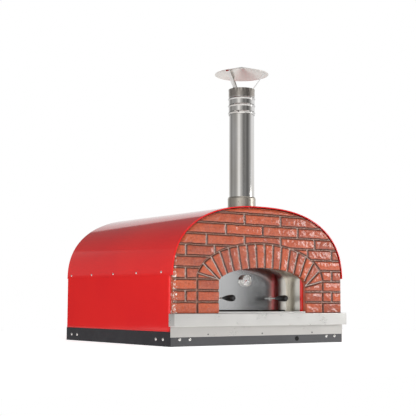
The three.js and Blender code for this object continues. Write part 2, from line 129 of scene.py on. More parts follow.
class Nodes:
    """Short calls that add nodes to one node tree."""

    def __init__(self, tree):
        self.tree = tree

    def node(self, kind, feeds=None, **settings):
        """A new node, with its input sockets fed and its settings made."""
        made = self.tree.nodes.new(kind)
        for key, value in settings.items():
            setattr(made, key, value)
        for key, source in (feeds or {}).items():
            self.put(made.inputs[key], source)
        return made

    def put(self, socket, source):
        """Feeds a socket from a number, a colour or another node's output."""
        if isinstance(source, bpy.types.NodeSocket):
            self.tree.links.new(source, socket)
        elif source is not None:
            socket.default_value = source

    def parts(self, vector):
        """The X, Y and Z of a vector."""
        return self.node("ShaderNodeSeparateXYZ", {"Vector": vector}).outputs

    def ramp(self, source, stops):
        """A colour or grey ramp; stops are (position, value)."""
        made = self.node("ShaderNodeValToRGB", {"Fac": source})
        elements = made.color_ramp.elements
        while len(elements) < len(stops):
            elements.new(0.5)
        for element, (position, value) in zip(elements, stops):
            element.position = position
            element.color = rgba(value)
        return made.outputs["Color"]

    def spread(self, source, low, high):
        """From one colour or grey to another over the middle of a noise's range."""
        return self.ramp(source, [(0.3, low), (0.7, high)])

    def mix(self, share, first, second):
        """Two colours or grey levels, blended by share."""
        made = self.node("ShaderNodeMix", {"Factor": share}, data_type="RGBA")
        colours = [s for s in made.inputs if s.type == "RGBA"]
        for socket, value in zip(colours, (first, second)):
            self.put(socket, value if isinstance(value, bpy.types.NodeSocket) else rgba(value))
        return [s for s in made.outputs if s.type == "RGBA"][0]

    def math(self, operation, *values):
        made = self.node("ShaderNodeMath", operation=operation)
        for socket, value in zip(made.inputs, values):
            self.put(socket, value)
        return made.outputs["Value"]


class Shader(Nodes):
    """A material with one Principled shader, and short calls for the textures that drive it."""

    def __init__(self, name, **sockets):
        self.material = bpy.data.materials.new(name)
        self.material.use_nodes = True
        super().__init__(self.material.node_tree)
        self.bsdf = self.tree.nodes["Principled BSDF"]
        for key, value in sockets.items():
            self.bsdf.inputs[key.replace("_", " ")].default_value = value

    def drive(self, socket, source):
        self.put(self.bsdf.inputs[socket], source)

    def tint(self, source, low, high):
        self.drive("Base Color", self.spread(source, low, high))

    def roughen(self, source, low, high):
        self.drive("Roughness", self.spread(source, low, high))

    def stained(self, body, source, start, full, most, colour):
        """A stain over the body's colour where a noise rises from start to full."""
        return self.mix(self.ramp(source, [(start, 0.0), (full, most)]), body, colour)

    def place(self, scale=(1, 1, 1), turn=(0, 0, 0)):
        """Positions in the row frame, stretched by scale."""
        here = self.node("ShaderNodeTexCoord").outputs["Object"]
        feeds = {"Vector": here, "Scale": scale, "Rotation": turn}
        return self.node("ShaderNodeMapping", feeds).outputs["Vector"]

    def noise(self, scale, detail=3.0, rough=0.5, vector=None, distortion=0.0):
        feeds = {"Vector": vector or self.place(), "Scale": scale, "Detail": detail}
        feeds.update({"Roughness": rough, "Distortion": distortion})
        return self.node("ShaderNodeTexNoise", feeds).outputs["Fac"]

    def cells(self, scale):
        """Distance to the nearest of scattered points."""
        feeds = {"Vector": self.place(), "Scale": scale}
        return self.node("ShaderNodeTexVoronoi", feeds).outputs["Distance"]

    def attribute(self, name):
        return self.node("ShaderNodeAttribute", attribute_name=name).outputs["Fac"]

    def bump(self, height, distance, strength=1.0, normal=None):
        feeds = {"Strength": strength, "Distance": distance, "Height": height, "Normal": normal}
        bent = self.node("ShaderNodeBump", feeds).outputs["Normal"]
        self.drive("Normal", bent)
        return bent


def red_enamel():
    s = Shader("red_enamel", IOR=1.46)
    cloud = s.noise(2.2, 2.0)
    fade = s.spread(cloud, (0.70, 0.012, 0.014), (0.77, 0.017, 0.014))
    dust = s.noise(46, 6.0, 0.7)
    s.drive("Base Color", s.stained(fade, dust, 0.62, 0.86, 0.06, (0.60, 0.08, 0.06)))
    s.roughen(s.noise(14, 4.0, 0.6), 0.05, 0.085)
    s.bump(s.noise(520, 2.0, 0.5), 0.00006, 0.35)
    return s.material


def steel(name, colour, rough, along, fine=0.00002, smudge=0.05, contrast=0.05):
    """Stainless sheet brushed along one axis: x, y or z."""
    s = Shader(name, Metallic=1.0)
    stretch = {"x": (2, 420, 420), "y": (420, 2, 420), "z": (420, 420, 2)}[along]
    lines = s.noise(1.0, 3.0, 0.6, s.place(stretch))
    cloud = s.noise(5.0, 4.0, 0.6)
    darker = tuple(c * (1 - contrast) for c in colour)
    tint = s.spread(cloud, darker, colour)
    s.drive("Base Color", s.mix(s.spread(lines, 0.0, 0.12), tint, (0.42, 0.42, 0.41)))
    worn = s.ramp(s.noise(9.0, 6.0, 0.65), [(0.35, rough - smudge), (0.7, rough + smudge)])
    s.drive("Roughness", s.mix(s.ramp(lines, [(0.35, 0.0), (0.65, 0.35)]), worn, rough * 1.3))
    s.bump(lines, fine, 0.5)
    return s.material


def heat_tinted(name, sooted_above=None):
    """The flue's rolled steel, clouded straw and blue by heat, and browned by smoke above a level."""
    s = Shader(name, Metallic=1.0)
    lines = s.noise(1.0, 3.0, 0.6, s.place((90, 90, 2)))
    cloud = s.noise(7.0, 5.0, 0.6, s.place((1, 1, 0.35)))
    tint = s.ramp(cloud, [
        (0.25, (0.56, 0.53, 0.48)),
        (0.5, (0.65, 0.64, 0.63)),
        (0.75, (0.68, 0.68, 0.70)),
    ])
    tint = s.mix(s.spread(lines, 0.0, 0.45), tint, (0.48, 0.46, 0.44))
    rough = s.spread(s.noise(12.0, 6.0, 0.7), 0.06, 0.12)
    if sooted_above is not None:
        height = s.math("SUBTRACT", s.parts(s.place())["Z"], sooted_above)
        above = s.ramp(s.math("MULTIPLY", height, 160.0), [(0.0, 0.0), (1.0, 0.85)])
        patchy = s.math("MULTIPLY", above, s.spread(cloud, 0.75, 1.0))
        tint = s.mix(patchy, tint, (0.25, 0.215, 0.18))
        rough = s.mix(patchy, rough, 0.34)
    s.drive("Base Color", tint)
    s.drive("Roughness", rough)
    s.bump(lines, 0.00005, 0.5)
    return s.material


def galvanised():
    s = Shader("galvanised_sheet", Metallic=1.0)
    spangle = s.cells(70)
    s.drive("Base Color", s.ramp(spangle, [(0.0, (0.42, 0.43, 0.44)), (1.0, (0.58, 0.59, 0.60))]))
    s.roughen(s.noise(20, 4.0), 0.38, 0.55)
    s.bump(spangle, 0.00008, 0.3)
    return s.material


def powder_black(name, coat, sheen):
    s = Shader(name, Coat_Weight=coat, Coat_Roughness=0.35, Specular_IOR_Level=sheen)
    base = s.spread(s.noise(6, 4.0, 0.6), (0.020, 0.020, 0.023), (0.030, 0.030, 0.035))
    dust = s.noise(90, 6.0, 0.75)
    s.drive("Base Color", s.stained(base, dust, 0.55, 0.85, 0.35, (0.09, 0.09, 0.095)))
    s.roughen(s.noise(25, 4.0), 0.38, 0.52)
    s.bump(s.noise(900, 2.0), 0.00008, 0.5)
    return s.material


def glazed_brick():
    """Moulded bricks under a clear sealer; each has its own tone, and the joints' edges are darker. The
    level joints are painted in shade, and white specks on the left corner are painted highlights.
    """
    sealer = {"Coat_Weight": 1.0, "Coat_Roughness": 0.19, "Coat_IOR": 1.55}
    s = Shader("sealed_brick", Specular_IOR_Level=0.25, **sealer)
    body = s.ramp(s.attribute("tone"), [
        (0.0, (0.29, 0.042, 0.015)),
        (0.35, (0.39, 0.052, 0.014)),
        (0.7, (0.52, 0.076, 0.014)),
        (1.0, (0.34, 0.056, 0.022)),
    ])
    pits = s.place((1, 1, 1.5), (0, 0, 0.9))
    bloom = s.place((1, 1, 1.6), (0.4, 0, 0.7))
    stains = [
        (s.noise(20, 6.0, 0.65), 0.35, 0.7, 0.55, (0.62, 0.15, 0.060)),
        (s.noise(52, 8.0, 0.7), 0.52, 0.78, 0.7, (0.18, 0.036, 0.018)),
        (s.noise(95, 5.0, 0.7), 0.50, 0.72, 0.55, (0.64, 0.16, 0.065)),
        (s.noise(80, 5.0, 0.7, pits), 0.52, 0.74, 0.6, (0.17, 0.036, 0.020)),
        (s.noise(34, 8.0, 0.75, bloom), 0.58, 0.8, 0.22, (0.62, 0.36, 0.27)),
    ]
    for stain in stains:
        body = s.stained(body, *stain)
    edge = s.attribute("edge")
    # Painted light and shade: level joints take the darker mortar, as shade under the brick above; upright
    # joints and those between ring bricks take the paler, lit one.
    shaded_mortar = s.spread(s.noise(120, 5.0, 0.7), (0.22, 0.085, 0.050), (0.40, 0.19, 0.12))
    pale = s.ramp(s.noise(120, 5.0, 0.7), [(0.3, (0.36, 0.21, 0.16)), (0.65, (0.82, 0.70, 0.63))])
    mortar = s.mix(s.attribute("upright"), shaded_mortar, pale)
    # Darker in a band along each joint's edges.
    edge_darkening = s.ramp(edge, [(0.0, 0.0), (0.17, 0.10), (0.30, 0.95), (0.52, 0.88), (0.92, 0.0)])
    under = s.mix(s.ramp(edge, [(0.35, 0.0), (0.55, 1.0)]), mortar, body)
    edge_darkened = s.mix(edge_darkening, under, (0.060, 0.018, 0.012))
    # Painted highlight: white specks left of the corner line stand for glints on the rounded brick edges.
    painted_glints = s.ramp(s.noise(85, 4.0, 0.7), [(0.53, 0.0), (0.60, 0.9)])
    corner = s.math("LESS_THAN", s.parts(s.place())["X"], PAINTED_GLINT_LEFT_OF)
    s.drive("Base Color", s.mix(s.math("MULTIPLY", corner, painted_glints), edge_darkened, (0.84, 0.76, 0.68)))
    s.roughen(s.noise(70, 5.0, 0.7), 0.32, 0.6)
    grain = s.bump(s.noise(240, 6.0, 0.7), 0.0013, 0.8)
    s.bump(s.noise(64, 4.0, 0.65), 0.009, 1.0, grain)
    return s.material


def refractory():
    s = Shader("refractory")
    cloud = s.noise(12, 6.0, 0.65)
    body = s.spread(cloud, (0.50, 0.36, 0.22), (0.66, 0.50, 0.34))
    soot = s.noise(5, 5.0, 0.6)
    s.drive("Base Color", s.stained(body, soot, 0.45, 0.75, 0.55, (0.07, 0.055, 0.045)))
    s.roughen(cloud, 0.82, 0.95)
    s.bump(s.noise(300, 5.0, 0.7), 0.0008, 0.6)
    return s.material


def ceramic_wool():
    s = Shader("ceramic_wool", Sheen_Weight=0.2)
    fibre = s.noise(1.0, 6.0, 0.8, s.place((90, 160, 90)), 0.8)
    s.tint(fibre, (0.62, 0.60, 0.55), (0.82, 0.81, 0.77))
    s.roughen(fibre, 0.88, 1.0)
    s.bump(fibre, 0.003, 0.7)
    return s.material


def black_plastic(name, low, high, colour):
    s = Shader(name, Coat_Weight=0.6 if low < 0.3 else 0.0, Coat_Roughness=0.1)
    swirl = s.noise(60, 3.0, 0.5, None, 1.5)
    lighter = tuple(c * 1.8 for c in colour)
    s.drive("Base Color", s.ramp(swirl, [(0.3, colour), (0.75, lighter)]))
    s.roughen(s.noise(90, 4.0), low, high)
    s.bump(s.noise(700, 2.0), 0.00004, 0.4)
    return s.material


def lens_glass():
    s = Shader("lens_glass", Transmission_Weight=1.0, IOR=1.45, Alpha=0.25)
    smear = s.noise(60, 4.0, 0.6)
    s.drive("Roughness", s.ramp(smear, [(0.4, 0.0), (0.8, 0.03)]))
    s.drive("Base Color", s.ramp(smear, [(0.3, (0.97, 0.98, 0.98)), (0.8, (0.93, 0.95, 0.95))]))
    return s.material


def dial_face():
    s = Shader("dial_face", Coat_Weight=0.4, Coat_Roughness=0.1)
    grain = s.noise(140, 4.0, 0.6)
    s.tint(grain, (0.84, 0.84, 0.83), (0.92, 0.92, 0.91))
    s.roughen(grain, 0.32, 0.45)
    s.bump(grain, 0.00003, 0.4)
    return s.material


def lacquer(name, colour):
    s = Shader(name, Coat_Weight=0.5, Coat_Roughness=0.1)
    grain = s.noise(300, 3.0)
    darker = tuple(c * 0.7 for c in colour)
    s.tint(grain, darker, colour)
    s.roughen(grain, 0.3, 0.42)
    return s.material


RED = red_enamel()
BRUSHED = steel("brushed_stainless", (0.70, 0.69, 0.665), 0.30, "x")
# Painted shade: a darker copy of the brushed stainless, for the apron under the shelf.
APRON_STEEL_PAINTED_SHADE = steel("apron_stainless_painted_shade", (0.58, 0.565, 0.54), 0.30, "x")
DOOR_STEEL = steel("door_stainless", (0.68, 0.685, 0.69), 0.14, "x", 0.000002, 0.006, 0.02)
LINING_STEEL = steel("lining_stainless", (0.78, 0.75, 0.68), 0.30, "y", 0.000005, 0.02)
FLUE_STEEL = heat_tinted("flue_rolled_steel")
SLEEVE_STEEL = heat_tinted("sleeve_rolled_steel", SOOT_LEVEL)
COLLAR_STEEL = steel("collar_stainless", (0.47, 0.43, 0.37), 0.30, "z")
BRIGHT = steel("fastener_zinc", (0.78, 0.77, 0.74), 0.24, "z", 0.00001)
ZINC = galvanised()
BLACK = powder_black("black_powder_coat", 0.9, 0.5)
SIDE_BLACK = powder_black("black_powder_coat_matt", 0.0, 0.12)
BRICK = glazed_brick()
FIRECLAY = refractory()
WOOL = ceramic_wool()
CAP_STEEL = steel("cap_stainless", (0.80, 0.77, 0.73), 0.34, "x")
BAKELITE = black_plastic("polished_bakelite", 0.30, 0.42, (0.006, 0.006, 0.006))
RUBBER = black_plastic("plug_rubber", 0.75, 0.9, (0.003, 0.003, 0.003))
GLASS = lens_glass()
DIAL = dial_face()
INK = lacquer("dial_ink", (0.02, 0.02, 0.02))
NEEDLE = lacquer("needle_red", (0.45, 0.02, 0.02))


# ---- Mesh helpers ----
def quarter(turns):
    """Cosines and sines of the steps of a quarter turn."""
    return [(cos(pi / 2 * k / turns), sin(pi / 2 * k / turns)) for k in range(turns + 1)]


def add_object(name, data):
    made = bpy.data.objects.new(name, data)
    bpy.context.scene.collection.objects.link(made)
    return made


def finish_piece(name, bm, material, body, replaced=(), sharp=38):
    """Turns a bmesh into a shown piece that rides on a body."""
    bmesh.ops.remove_doubles(bm, verts=bm.verts, dist=1e-6)
    bmesh.ops.recalc_face_normals(bm, faces=bm.faces)
    for face in bm.faces:
        face.smooth = True
    for edge in bm.edges:
        if len(edge.link_faces) == 2 and edge.calc_face_angle(0) > radians(sharp):
            edge.smooth = False
    mesh = bpy.data.meshes.new(name)
    bm.to_mesh(mesh)
    bm.free()
    mesh.materials.append(material)
    piece = add_object(name, mesh)
    weigh_normals(piece, True)
    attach(piece, body)
    if replaced:
        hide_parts(*replaced)
    return piece


def weigh_normals(piece, keep_sharp):
    """Keeps flat faces flat beside their rounded edges."""
    weights = piece.modifiers.new("weights", "WEIGHTED_NORMAL")
    weights.keep_sharp = keep_sharp
    weights.weight = 80


def rounded(points, radius, steps=4, closed=True):
    """A polyline with its corners turned into arcs; a corner keeps its own radius if it has one."""
    result = []
    count = len(points)
    for i, point in enumerate(points):
        r = point[2] if len(point) > 2 else radius
        here = Vector(point[:2])
        if r == 0 or (not closed and i in (0, count - 1)):
            result.append(tuple(here))
            continue
        before = Vector(points[i - 1][:2]) - here
        after = Vector(points[(i + 1) % count][:2]) - here
        angle = before.angle(after)
        if angle > pi - 0.02:
            result.append(tuple(here))
            continue
        cut = min(r / tan(angle / 2), 0.49 * before.length, 0.49 * after.length)
        start = here + before.normalized() * cut
        end = here + after.normalized() * cut
        for k in range(steps + 1):
            t = k / steps
            result.append(tuple((1 - t) ** 2 * start + 2 * t * (1 - t) * here + t * t * end))
    return result


def turned(bm, profile, centre, axis=(0, 0, 1), segments=64, shape=None):
    """Turns a profile of (radius, height) about an axis; one that starts off the axis is closed."""
    spin = Vector((0, 0, 1)).rotation_difference(Vector(axis)).to_matrix().to_4x4()
    placed = Matrix.Translation(Vector(centre)) @ spin
    rings = []
    for r, h in profile:
        if r < 1e-7:
            rings.append([bm.verts.new(placed @ Vector((0, 0, h)))])
            continue
        ring = []
        for i in range(segments):
            a = 2 * pi * i / segments
            wide = r if shape is None else shape(r, h, a)
            ring.append(bm.verts.new(placed @ Vector((wide * cos(a), wide * sin(a), h))))
        rings.append(ring)
    pairs = list(zip(rings, rings[1:]))
    if profile[0][0] > 1e-7:
        pairs.append((rings[-1], rings[0]))
    for low, high in pairs:
        for i in range(segments):
            j = (i + 1) % segments
            corners = [low[i % len(low)], low[j % len(low)], high[j % len(high)], high[i % len(high)]]
            unique = list(dict.fromkeys(corners))
            if len(unique) > 2:
                bm.faces.new(unique)
    return bm


def swept(loops):
    """Skins a list of loops with the same count of points, and closes its ends."""
    bm = bmesh.new()
    rings = [[bm.verts.new(p) for p in loop] for loop in loops]
    count = len(rings[0])
    for low, high in zip(rings, rings[1:]):
        for i in range(count):
            j = (i + 1) % count
            bm.faces.new((low[i], low[j], high[j], high[i]))
    bm.faces.new(rings[0])
    bm.faces.new(rings[-1])
    return bm


def block(low, high, radius, steps):
    """A box with rounded edges."""
    bm = bmesh.new()
    made = bmesh.ops.create_cube(bm, size=1.0)["verts"]
    low, high = Vector(low), Vector(high)
    for v in made:
        v.co = Vector([low[k] + (v.co[k] + 0.5) * (high[k] - low[k]) for k in range(3)])
    edges = list({e for v in made for e in v.link_edges})
    bmesh.ops.bevel(bm, geom=edges, offset=radius, segments=steps, profile=0.5, affect="EDGES")
    return bm


def soften(name, material, width=0.0006, segments=2):
    """Gives a CAD node its material, and takes the sharpness off its edges."""
    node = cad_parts[name]
    node.data.materials.clear()
    node.data.materials.append(material)
    for polygon in node.data.polygons:
        polygon.use_smooth = True
    weld = node.modifiers.new("weld", "WELD")
    weld.merge_threshold = 1e-5
    bevel = node.modifiers.new("bevel", "BEVEL")
    bevel.width = width
    bevel.segments = segments
    bevel.limit_method = "ANGLE"
    bevel.angle_limit = radians(40)
    weigh_normals(node, False)
    return node


# ---- The shell's outline ----
def arch_point(t, half, spring, rise, power=2.0):
    """A point of the arch at angle t from the right foot, in X and Z."""
    c = cos(t)
    s = max(sin(t), 0)
    x = half * copysign(abs(c) ** (2 / power), c)
    return Vector((x, spring + rise * s ** (2 / power)))


def arch_frame(t, half, spring, rise, power=2.0):
    """The arch's point at t and the unit vector pointing inwards."""
    t = min(max(t, 1e-3), pi - 1e-3)
    shape = (half, spring, rise, power)
    along = (arch_point(t + 5e-4, *shape) - arch_point(t - 5e-4, *shape)).normalized()
    return arch_point(t, *shape), Vector((-along.y, along.x))


SHELL = (HALF, SHELL_SPRING, ROOF_HI.z - SHELL_SPRING, SHELL_POWER)


# ---- Brick front ----
def signed_distance(x, z, half, spring, rise, power=2.0):
    """About how far points lie outside an arch; inside is negative. Works on arrays."""
    up = np.maximum(z - spring, 0.0)
    fx = np.abs(x) / half
    fz = up / rise
    level = (fx**power + fz**power) ** (1 / power)
    level = np.maximum(level, 1e-6)
    gx = fx ** (power - 1) / half
    gz = fz ** (power - 1) / rise
    slope = np.sqrt(gx * gx + gz * gz) / level ** (power - 1)
    return (level - 1) / np.maximum(slope, 1e-6)


def mouth_distance(x, z):
    return signed_distance(x - MOUTH_SHIFT, z, **MOUTH)


def rise_over(distance, reach):
    """0 at a joint's side, 1 once `reach` into the brick, along a quarter circle."""
    u = np.clip(distance / reach, 0, 1)
    return np.sqrt(np.maximum(1 - (1 - u) ** 2, 0))


def ring_joints():
    """The joints between the ring's bricks, each from the outer arch to the mouth's edge."""
    steps = 2000
    points = [arch_point(pi / 2 * (1 - i / steps), **RING) for i in range(steps + 1)]
    lengths = [0.0]
    for a, b in zip(points, points[1:]):
        lengths.append(lengths[-1] + (b - a).length)
    joints = []
    side = RING_BRICKS // 2
    for k in range(-side, side + 1):
        share = abs(k) / side
        # The ring is laid unevenly: its joints drift more to the left and less to the right.
        drift = 0.0125 + (0.0022 * -k if k < 0 else -0.0031 * min(k, 4))
        target = lengths[-1] * share + (drift if k > 0 else -drift)
        sign = 1 if k > 0 else -1
        if target < 0:
            target, sign = -target, 1
        outer = points[min(range(steps + 1), key=lambda i: abs(lengths[i] - target))]
        outer = Vector((sign * outer.x, outer.y))
        lean = RING_LEAN * (0.36 * share + 0.64 * share**4.6)
        step = Vector((-sin(lean) * (1 if k > 0 else -1), -cos(lean))) * 0.0005
        inner = outer.copy()
        while mouth_distance(inner.x, inner.y) > 0:
            inner += step
        joints.append((outer, inner))
    return joints


def segment_distance(x, z, a, b):
    along = b - a
    t = np.clip(((x - a.x) * along.x + (z - a.y) * along.y) / along.length_squared, 0, 1)
    return np.hypot(x - a.x - t * along.x, z - a.y - t * along.y)


def wander(points, scale, seed):
    """Smooth noise at each point, from about -1 to 1."""
    shift = Vector((seed, 2.3 * seed, -seed))
    return np.array([noise.noise(p * scale + shift) for p in points])


def coursed_bricks(x, z):
    """Each point's row, its distance to a level and to an upright joint, and its brick's number."""
    course = (z - FACADE_LO.z) / COURSE
    row = np.clip(np.floor(course), 0, len(UPRIGHTS) - 1).astype(int)
    level = np.abs(course - np.round(course)) * COURSE
    level = np.where((np.round(course) < 1) | (course > len(UPRIGHTS) - 0.5), FAR, level)
    upright = np.full(x.shape, FAR)
    brick = row * 37.0 + np.where(x > 0, 11.0, 3.0)
    for r, places in enumerate(UPRIGHTS):
        here = row == r
        for place in places:
            for sign in (-1, 1):
                away = np.abs(x - sign * place)
                upright = np.where(here, np.minimum(upright, away), upright)
                brick = np.where(here & (x > sign * place), brick + 5.0, brick)
    return row, level, upright, brick


def ring_bricks(x, z, row, level):
    """Distance to a joint of the ring, the brick's number, and where the coursed jamb bricks are."""
    spoke = np.full(x.shape, FAR)
    brick = np.full(x.shape, 400.0)
    joints = ring_joints()
    for a, b in joints:
        spoke = np.minimum(spoke, segment_distance(x, z, a, b))
        passed = (x - a.x) * (b.y - a.y) - (z - a.y) * (b.x - a.x) < 0
        brick = np.where(passed, brick + 7.0, brick)
    jamb = np.zeros(x.shape, bool)
    for a, b in (joints[0], joints[-1]):
        line = b.y + (x - b.x) * (a.y - b.y) / (a.x - b.x)
        jamb = jamb | ((np.sign(x) == np.sign(a.x)) & (z < line))
    spoke = np.where(jamb, np.minimum(spoke, level), spoke)
    brick = np.where(jamb, 900 + row * 13.0 + np.where(x > 0, 5.0, 0.0), brick)
    return spoke, brick, jamb


def brick_relief(x, z):
    """How proud each point stands, its brick's tone, its edge measure and its joint's painted light: pale
    for upright joints, painted shade for level ones.
    """
    flat = [Vector((a, 0, b)) for a, b in zip(x.ravel(), z.ravel())]

    def drift(scale, seed):
        return wander(flat, scale, seed).reshape(x.shape)

    waver = 0.0016  # how far the joints stray from their lines
    wx = x + waver * drift(26, 3.1)
    wz = z + waver * drift(26, 8.7)
    ring = signed_distance(wx, wz, **RING)
    outside = ring > 0
    row, level, upright, brick = coursed_bricks(wx, wz)
    spoke, ring_brick, jamb = ring_bricks(wx, wz, row, level)
    brick = np.where(outside, brick, ring_brick)
    level = np.where(outside, level, FAR)
    upright = np.where(outside, upright, FAR)
    spoke = np.where(outside, FAR, spoke)
    ring = np.abs(ring)
    proud = np.ones(x.shape)
    nearest = np.full(x.shape, FAR)
    for distance in (level, upright, ring, spoke):
        proud = proud * rise_over(distance - JOINT, ROUND)
        nearest = np.minimum(nearest, distance)
    shell = -signed_distance(x, z, *SHELL) - PANEL_INSET
    proud = proud * rise_over(shell - 0.004, 0.011) * rise_over(mouth_distance(x, z) + 0.0005, 0.006)
    proud = proud * rise_over(z - FACADE_LO.z + 0.001, 0.005)
    pillow = 0.0016  # how much fuller the middle of a brick is
    swell = 1 - np.exp(-np.maximum(nearest - JOINT, 0) / 0.014)
    lump = drift(19, 1.7) * 0.0026
    lump = lump + drift(60, 5.9) * 0.0013
    height = proud * (RECESS - pillow + pillow * swell + lump * (0.3 + 0.7 * swell))
    bead = 0.0012 * np.clip(1 - nearest / JOINT, 0, 1)
    grit = drift(160, 4.4) * 0.0004
    tone = np.modf(np.abs(np.sin(brick * 12.9898) * 43758.5453))[0]
    edge = np.clip(nearest / (JOINT + 0.8 * ROUND), 0, 1)
    # Painted light: near 1 where an upright joint or a joint between ring bricks is nearest, near 0 at
    # level joints and the ring's outer edge, as painted shade.
    sideways = np.where(jamb & ~outside, FAR, np.minimum(upright, spoke))
    pale = np.clip(0.5 + (np.minimum(level, ring) - sideways) / (4 * JOINT), 0, 1)
    return np.maximum(height, 0) + (1 - proud) * (bead + grit), tone, edge, pale


def facade_outlines(around):
    """Matching points along the mouth and the moulding's outer edge, from the right foot to the left."""
    inner, outer = [], []
    legs = 0.135  # share of the way round that each straight side takes
    for i in range(around + 1):
        u = i / around
        if u < legs or u > 1 - legs:
            sign = 1 if u < legs else -1
            k = (u if u < legs else 1 - u) / legs
            edge = MOUTH_SHIFT + sign * MOUTH["half"]
            inner.append((edge, FACADE_LO.z + k * (MOUTH["spring"] - FACADE_LO.z)))
            outer.append((sign * FACADE_HI.x, FACADE_LO.z + k * (SHELL_SPRING - FACADE_LO.z)))
        else:
            t = pi * (u - legs) / (1 - 2 * legs)
            point = arch_point(t, **MOUTH)
            inner.append((point.x + MOUTH_SHIFT, point.y))
            point, inwards = arch_frame(t, *SHELL)
            outer.append(tuple(point + inwards * PANEL_INSET))
    return inner, outer


def make_brick_front():
    """One moulded panel: a relief over the whole front, with plain returns and a flat back."""
    across, around = 122, 620
    inner, outer = facade_outlines(around)
    share = np.linspace(0, 1, across + 1)[:, None, None]
    grid = np.array(inner)[None] * (1 - share) + np.array(outer)[None] * share
    x, z = grid[..., 0], grid[..., 1]
    proud, tone, edge, pale = brick_relief(x, z)
    front = FACADE_LO.y + RECESS - proud
    depth = FACADE_HI.y - FACADE_LO.y
    returns = [0.45, 0.75, 1.0]  # shares of the depth
    rows = [[(p[0], FACADE_LO.y + depth * r, p[1]) for p in inner] for r in reversed(returns)]
    rows += [list(zip(x[k], front[k], z[k])) for k in range(across + 1)]
    rows += [[(p[0], FACADE_LO.y + depth * r, p[1]) for p in outer] for r in returns]
    vertices = [v for row in rows for v in row]
    count = around + 1
    faces = []
    for k in range(len(rows) - 1):
        for i in range(around):
            c = k * count + i
            faces.append((c, c + 1, c + count + 1, c + count))
    last = (len(rows) - 1) * count
    for i in range(around):
        faces.append((last + i, last + i + 1, i + 1, i))
    faces.append([k * count for k in range(len(rows))])
    faces.append([k * count + around for k in range(len(rows))])
    mesh = bpy.data.meshes.new("brick_front")
    mesh.from_pydata(vertices, [], faces)
    mesh.validate()
    side = len(returns)
    plain = np.full(count, 0.86)
    layers = {
        "tone": [tone[0]] * side + list(tone) + [tone[-1]] * side,
        "edge": [plain] * side + list(edge) + [plain] * side,
        # The upright layer carries the joints' painted light and shade.
        "upright": [pale[0]] * side + list(pale) + [pale[-1]] * side,
    }
    for name, values in layers.items():
        layer = mesh.attributes.new(name, "FLOAT", "POINT")
        layer.data.foreach_set("value", np.concatenate(values).astype(np.float32))
    bm = bmesh.new()
    bm.from_mesh(mesh)
    finish_piece("brick_front", bm, BRICK, "oven", ["brick_facade"], 60)


# ---- Shell ----
def heading(degrees):
    """The level unit vector at an angle from +X."""
    return Vector((cos(radians(degrees)), sin(radians(degrees)), 0))


def drill_flue_bore(piece):
    """Cuts the pipe's hole out of the roof's mesh."""
    reach = 0.1
    low, high = ROOF_HI.z - reach, ROOF_HI.z + reach
    bore = PIPE_RADIUS + BORE_GAP
    drill = turned(bmesh.new(), [(0, low), (bore, low), (bore, high), (0, high)], FLUE)
    bmesh.ops.recalc_face_normals(drill, faces=drill.faces)
    mesh = bpy.data.meshes.new("flue_bore")
    drill.to_mesh(mesh)
    drill.free()
    cutter = add_object("flue_bore", mesh)
    modifier = piece.modifiers.new("bore", "BOOLEAN")
    modifier.operation = "DIFFERENCE"
    modifier.solver = "EXACT"
    modifier.object = cutter
    depsgraph = bpy.context.evaluated_depsgraph_get()
    cut = bpy.data.meshes.new_from_object(piece.evaluated_get(depsgraph))
    piece.modifiers.clear()
    piece.data = cut
    weigh_normals(piece, True)
    bpy.data.objects.remove(cutter)


def make_roof():
    """One bent sheet: it laps over the sides, and its front edge is rolled in."""
    front, back = ROOF_LO.y, ROOF_HI.y
    steps, inner = 180, ROLL - SHEET
    bend = quarter(8)
    section = [(back, 0.0)] + [(front + ROLL - ROLL * s, ROLL - ROLL * c) for c, s in bend]
    section += [(front, LIP), (front + SHEET, LIP)]
    section += [(front + ROLL - inner * s, ROLL - inner * c) for c, s in reversed(bend)]
    section.append((back, SHEET))
    loops = [[(HALF - n, y, ROOF_LO.z) for y, n in section]]
    climb = (ROOF_LO.z - SHELL_SPRING) / (ROOF_HI.z - SHELL_SPRING)
    first = asin(climb ** (SHELL_POWER / 2))
    for i in range(1, steps):
        t = first + (pi - 2 * first) * i / steps
        point, inwards = arch_frame(t, *SHELL)
        loops.append([(point.x + inwards.x * n, y, point.y + inwards.y * n) for y, n in section])
    loops.append([(n - HALF, y, ROOF_LO.z) for y, n in section])
    bm = swept(loops)
    drill_flue_bore(finish_piece("roof_skin", bm, RED, "oven", ["roof_sheet"]))


def side_section(sign, out):
    """A side panel cut level, standing out by `out`: its outer face, then its inner face."""
    half, front, back = SIDE_HI.x + out, SIDE_LO.y, SIDE_HI.y
    outer, inner = [(half, back)], [(half - SHEET, back)]
    r = SIDE_BEND + out
    for c, s in quarter(12):
        outer.append((half - r + r * c, front - out + r - r * s))
        inner.append((half - r + (r - SHEET) * c, front - out + r - (r - SHEET) * s))
    outer.append((half - SIDE_FLANGE, front - out))
    inner.append((half - SIDE_FLANGE, front - out + SHEET))
    return [(sign * x, y) for x, y in outer + inner[::-1]]


def make_sides():
    """Side panels with a rolled front edge and a hem turned along the bottom."""
    low, top = SIDE_LO.z, SIDE_HI.z
    levels = [(low, 0.0), (low + 0.0008, 0.7 * HEM), (low + 0.002, HEM), (low + 0.005, HEM)]
    levels += [(low + 0.0065, 0.6 * HEM), (low + 0.008, 0.0), (low + 0.1, 0.0), (top, 0.0)]
    for name, sign in (("left", -1), ("right", 1)):
        loops = [[(x, y, z) for x, y in side_section(sign, out)] for z, out in levels]
        bm = swept(loops)
        finish_piece(f"side_skin_{name}", bm, RED, "oven", [f"side_panel_{name}"])


